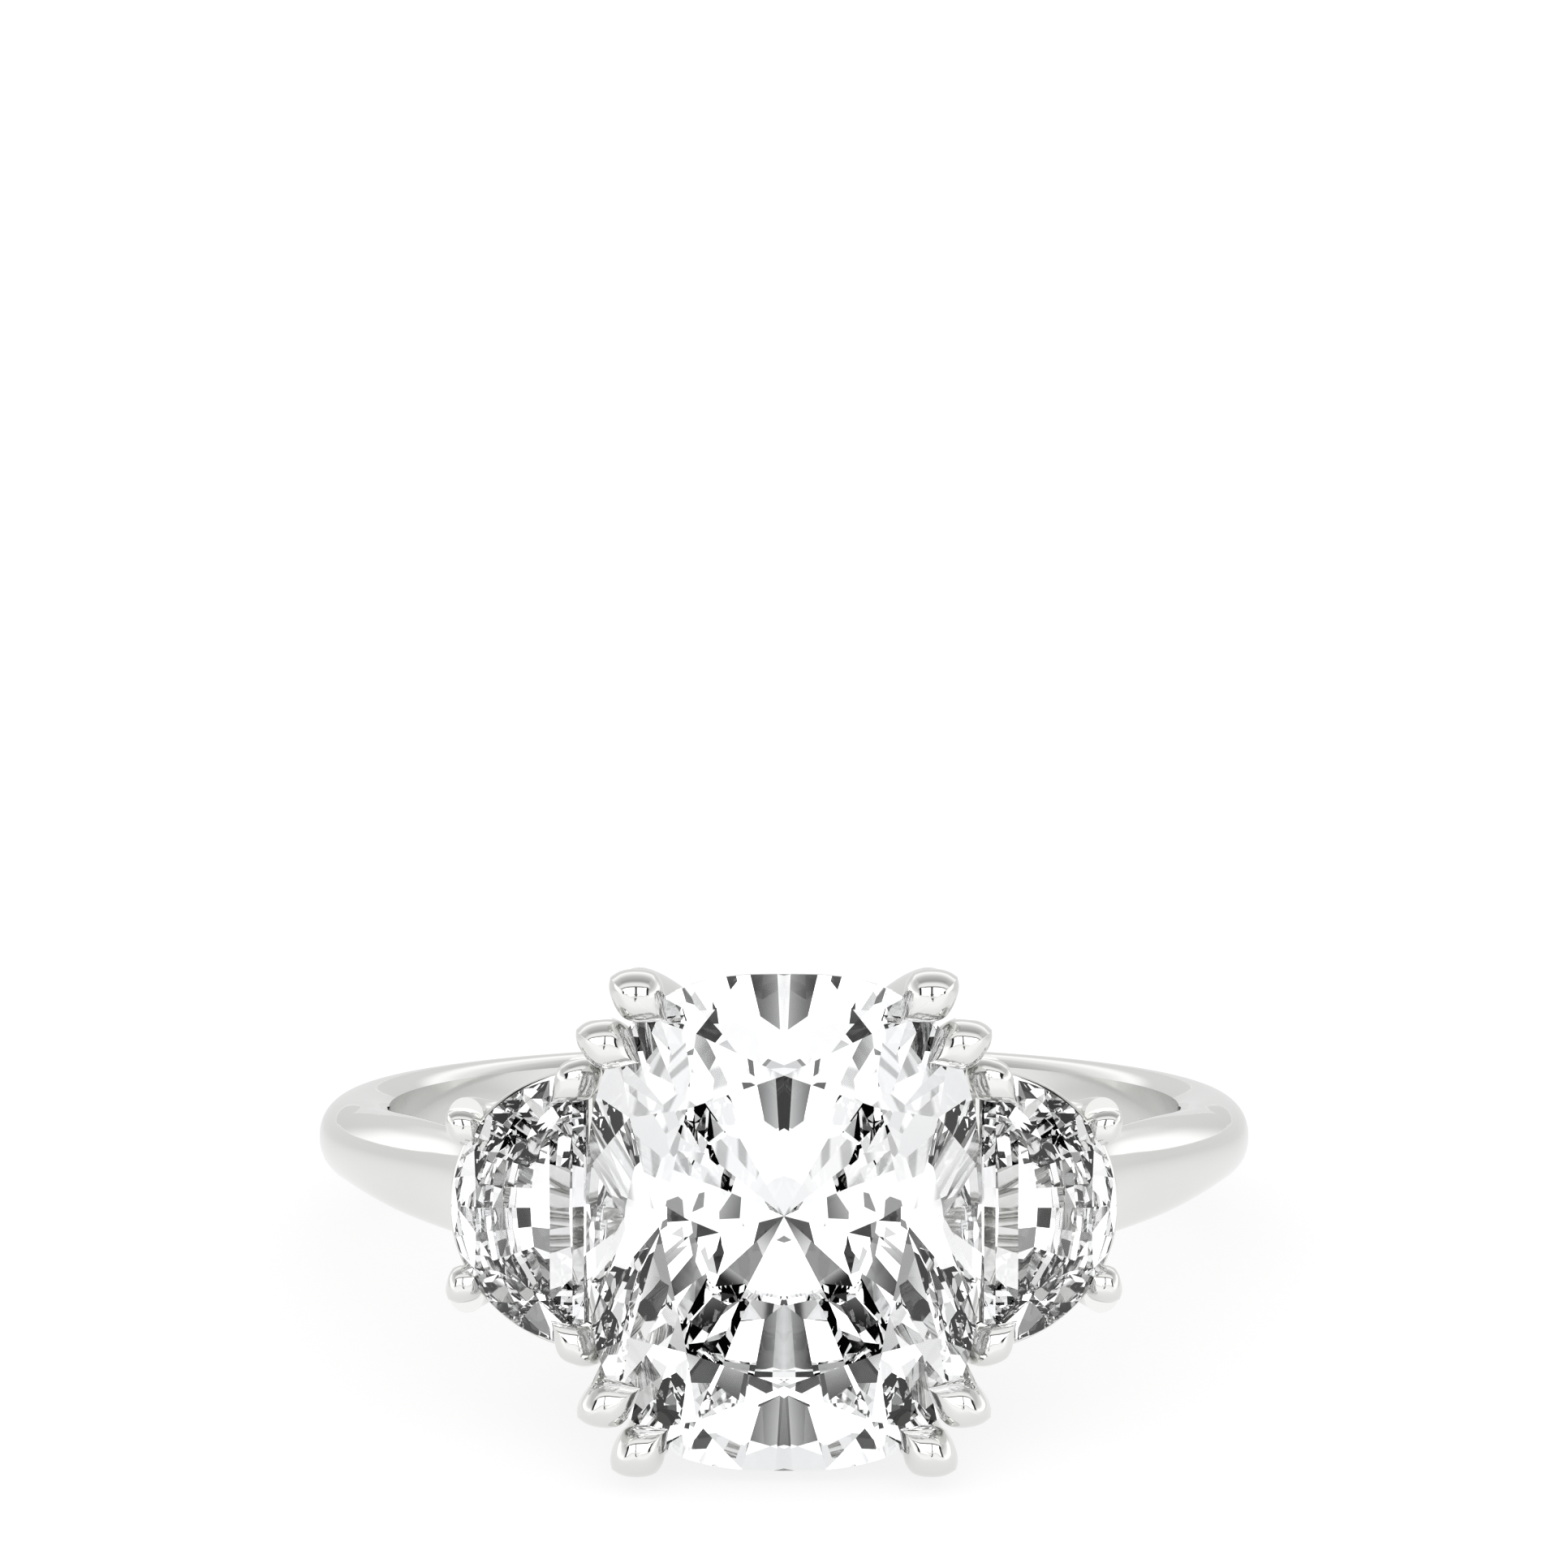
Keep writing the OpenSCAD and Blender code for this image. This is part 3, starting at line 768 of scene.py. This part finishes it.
def floor_light(tree, parts):
    """Share of the floor's painted glow that is left: less on its painted dark bars, which like the room's
    are seen only in what the stones refract, and less behind the ring, a painted shade seen only in what the metal
    reflects."""
    def calc(how, *values):
        node = tree.nodes.new("ShaderNodeMath")
        node.operation = how
        for socket, value in zip(node.inputs, values):
            if isinstance(value, (int, float)):
                socket.default_value = value
            else:
                tree.links.new(value, socket)
        return node.outputs[0]

    ahead = calc("SUBTRACT", -0.011, parts.outputs["Y"])
    angle = calc("MULTIPLY", calc("ARCTAN2", calc("ABSOLUTE", parts.outputs["X"]), ahead), 180 / math.pi)
    clear = 1.0
    for place in PAINTED_FLOOR_BARS:
        node = tree.nodes.new("ShaderNodeMapRange")
        node.interpolation_type = "SMOOTHSTEP"
        tree.links.new(calc("ABSOLUTE", calc("SUBTRACT", angle, float(place))), node.inputs["Value"])
        for name, number in (("From Min", BARS[2]), ("From Max", BARS[3]), ("To Min", 0.0), ("To Max", 1.0)):
            node.inputs[name].default_value = number
        clear = calc("MULTIPLY", clear, node.outputs["Result"])
    # Painted shade: the floor's glow behind the ring is dimmed only in what the metal reflects
    behind = tree.nodes.new("ShaderNodeMapRange")
    behind.interpolation_type = "SMOOTHSTEP"
    tree.links.new(parts.outputs["Y"], behind.inputs["Value"])
    for name, number in (("From Min", 0.002), ("From Max", 0.018), ("To Min", 0.0), ("To Max", PAINTED_SHADE_BEHIND)):
        behind.inputs[name].default_value = number
    path = tree.nodes.new("ShaderNodeLightPath").outputs
    # Painted dark bars: the floor's glow is dimmed on its bars only in what the stones refract
    painted_bars_in_stones = calc("MULTIPLY", path["Is Transmission Ray"], calc("MULTIPLY", 1.0 - PAINTED_BAR_LIGHT_SHARE, calc("SUBTRACT", 1.0, clear)))
    # Painted shade behind the ring, seen only in the metal's reflections
    painted_shade_in_metal = calc("MULTIPLY", path["Is Glossy Ray"], behind.outputs["Result"])
    return calc("SUBTRACT", calc("SUBTRACT", 1.0, painted_bars_in_stones), painted_shade_in_metal)


def studio_floor():
    mesh = bpy.data.meshes.new("floor")
    size = 1.2
    mesh.from_pydata([(-size, -size, 0), (size, -size, 0), (size, size, 0), (-size, size, 0)], [], [(0, 1, 2, 3)])
    mesh.update()
    obj = bpy.data.objects.new("floor", mesh)
    bpy.context.scene.collection.objects.link(obj)
    material = bpy.data.materials.new("pale_floor")
    tree, bsdf, coords = node_tree(material)
    tone = ramp(tree, noise(tree, coords, 40.0, 2.0).outputs["Fac"], (0.18, 0.18, 0.18), (0.20, 0.20, 0.20))
    tree.links.new(tone.outputs["Color"], bsdf.inputs["Base Color"])
    # Painted light: the floor glows white, which keeps it white and fills in the shadows on it
    bsdf.inputs["Emission Color"].default_value = (1, 1, 1, 1)
    # Painted light: the floor's glow is a little stronger in front, a pool of light painted where the windows would
    # light it
    parts = tree.nodes.new("ShaderNodeSeparateXYZ")
    painted_front_light = tree.nodes.new("ShaderNodeMapRange")
    painted_front_light.interpolation_type = "SMOOTHSTEP"
    tree.links.new(coords.outputs["Object"], parts.inputs["Vector"])
    tree.links.new(parts.outputs["Y"], painted_front_light.inputs["Value"])
    for name, number in (("From Min", -0.006), ("From Max", -0.035), ("To Min", 0.84), ("To Max", 1.02)):
        painted_front_light.inputs[name].default_value = number
    shade = floor_light(tree, parts)
    # Painted light: the floor's glow is the painted pool in front times floor_light's painted bars and painted shade
    painted_glow_strength = tree.nodes.new("ShaderNodeMath")
    painted_glow_strength.operation = "MULTIPLY"
    tree.links.new(painted_front_light.outputs["Result"], painted_glow_strength.inputs[0])
    tree.links.new(shade, painted_glow_strength.inputs[1])
    tree.links.new(painted_glow_strength.outputs[0], bsdf.inputs["Emission Strength"])
    bsdf.inputs["Roughness"].default_value = 0.9
    bsdf.inputs["Specular IOR Level"].default_value = 0.1
    mesh.materials.append(material)


def studio_world():
    """A white room seen only as light: two tall windows in front and a pale wall behind."""
    world = bpy.data.worlds.new("studio")
    bpy.context.scene.world = world
    world.use_nodes = True
    tree = world.node_tree
    tree.nodes.clear()
    out = tree.nodes.new("ShaderNodeOutputWorld")
    back = tree.nodes.new("ShaderNodeBackground")
    tree.links.new(back.outputs["Background"], out.inputs["Surface"])
    coords = tree.nodes.new("ShaderNodeTexCoord")
    parts = tree.nodes.new("ShaderNodeSeparateXYZ")
    tree.links.new(coords.outputs["Generated"], parts.inputs["Vector"])

    def calc(how, *values):
        node = tree.nodes.new("ShaderNodeMath")
        node.operation = how
        for socket, value in zip(node.inputs, values):
            if isinstance(value, (int, float)):
                socket.default_value = value
            else:
                tree.links.new(value, socket)
        return node.outputs[0]

    def step(value, low, high, a=0.0, b=1.0):
        """From a to b as value goes from low to high, smoothly."""
        node = tree.nodes.new("ShaderNodeMapRange")
        node.interpolation_type = "SMOOTHSTEP"
        tree.links.new(value, node.inputs["Value"])
        for name, number in (("From Min", low), ("From Max", high), ("To Min", a), ("To Max", b)):
            node.inputs[name].default_value = number
        return node.outputs["Result"]

    def blend(a, b, share):
        """a where share is 0, b where it is 1."""
        return calc("ADD", calc("MULTIPLY", a, calc("SUBTRACT", 1.0, share)), calc("MULTIPLY", b, share))

    def between(value, low, high, soft):
        return calc("MULTIPLY", step(value, low - soft, low + soft), step(value, high - soft, high + soft, 1.0, 0.0))

    def profile(value, stops, top):
        """A smooth brightness curve over value, from rows of (value, brightness)."""
        node = tree.nodes.new("ShaderNodeValToRGB")
        node.color_ramp.interpolation = "EASE"
        while len(node.color_ramp.elements) < len(stops):
            node.color_ramp.elements.new(1.0)
        for element, (at, bright) in zip(node.color_ramp.elements, stops):
            element.position = at / top
            element.color = (bright, bright, bright, 1)
        tree.links.new(calc("DIVIDE", value, float(top)), node.inputs["Fac"])
        return node.outputs["Color"]

    degree = 180 / math.pi
    rise = calc("MULTIPLY", calc("ARCSINE", parts.outputs["Z"]), degree)
    side = calc("MULTIPLY", calc("ARCSINE", calc("ABSOLUTE", parts.outputs["X"])), degree)
    over = calc("MULTIPLY", calc("ARCTAN2", parts.outputs["Z"], calc("MULTIPLY", parts.outputs["Y"], -1.0)), degree)
    aside = blend(step(side, SIDE_SPAN[0], SIDE_SPAN[1]), step(side, SIDE_SPAN[2], SIDE_SPAN[3]), step(over, 70, 120))
    level = blend(profile(over, OVER, 180), profile(rise, SIDES, 90), aside)
    frame_mask = calc("MULTIPLY", step(side, FRAME[0] - 1, FRAME[0] + 1, 1.0, 0.0), between(over, FRAME[1], FRAME[2], 1.0))
    level = blend(level, FRAME[3], frame_mask)
    window = calc("MULTIPLY", between(side, WINDOW[0], WINDOW[1], WINDOW[4]), between(over, WINDOW[2], WINDOW[3], WINDOW[4]))
    level = blend(level, WINDOW[5], window)
    stand = calc("MULTIPLY", step(side, STAND[0], STAND[1], 1.0, 0.0), between(over, -30, STAND[2], 1.0))
    level = blend(level, LENS[3], stand)
    lens = calc("ADD", calc("MULTIPLY", parts.outputs["Y"], -math.cos(LENS[0] / degree)),
                calc("MULTIPLY", parts.outputs["Z"], math.sin(LENS[0] / degree)))
    level = blend(level, LENS[3], step(lens, math.cos(LENS[2] / degree), math.cos(LENS[1] / degree)))
    # Dark bars across the room, only in what the stones refract, so that their facets stand apart
    through_stone = tree.nodes.new("ShaderNodeLightPath").outputs["Is Transmission Ray"]
    reach = calc("MULTIPLY", between(over, 3, 95, 0.5), through_stone)
    for value, places, tone in ((side, BARS[0], BAR_TONE[0]), (over, BARS[1], BAR_TONE[1])):
        clear = 1.0
        for place in places:
            clear = calc("MULTIPLY", clear, step(calc("ABSOLUTE", calc("SUBTRACT", value, float(place))), BARS[2], BARS[3]))
        level = blend(level, tone, calc("MULTIPLY", reach, calc("SUBTRACT", 1.0, clear)))
    tree.links.new(level, back.inputs["Strength"])
    back.inputs["Color"].default_value = (1.0, 1.0, 0.995, 1)
    world.cycles.sampling_method = "MANUAL"
    world.cycles.sample_map_resolution = 1024


def camera():
    """The camera that took the lying view: fitted to the ring's outline in the photo."""
    lift, far, aim = math.radians(3.439), 116.57, np.array([0, 7.467, 0])
    place = aim + far * np.array([0, math.sin(lift), math.cos(lift)])
    at, to = Vector(laid(place)), Vector(laid(aim))
    data = bpy.data.cameras.new("camera")
    data.sensor_fit = "HORIZONTAL"
    data.sensor_width = 36.0
    data.lens = 36.0 * 6713.9 / 1932
    data.clip_start, data.clip_end = 0.005, 10.0
    obj = bpy.data.objects.new("camera", data)
    bpy.context.scene.collection.objects.link(obj)
    obj.location = at
    obj.rotation_euler = (to - at).to_track_quat("-Z", "Y").to_euler()
    bpy.context.scene.camera = obj


studio_floor()
studio_world()
camera()

scene = bpy.context.scene
scene.view_settings.view_transform = "Standard"
scene.view_settings.look = "None"
scene.view_settings.exposure = 0.0
scene.cycles.max_bounces = 24
scene.cycles.diffuse_bounces = 3
scene.cycles.glossy_bounces = 12
scene.cycles.transmission_bounces = 24
scene.cycles.caustics_reflective = False
scene.cycles.caustics_refractive = False
scene.cycles.sample_clamp_indirect = 6.0
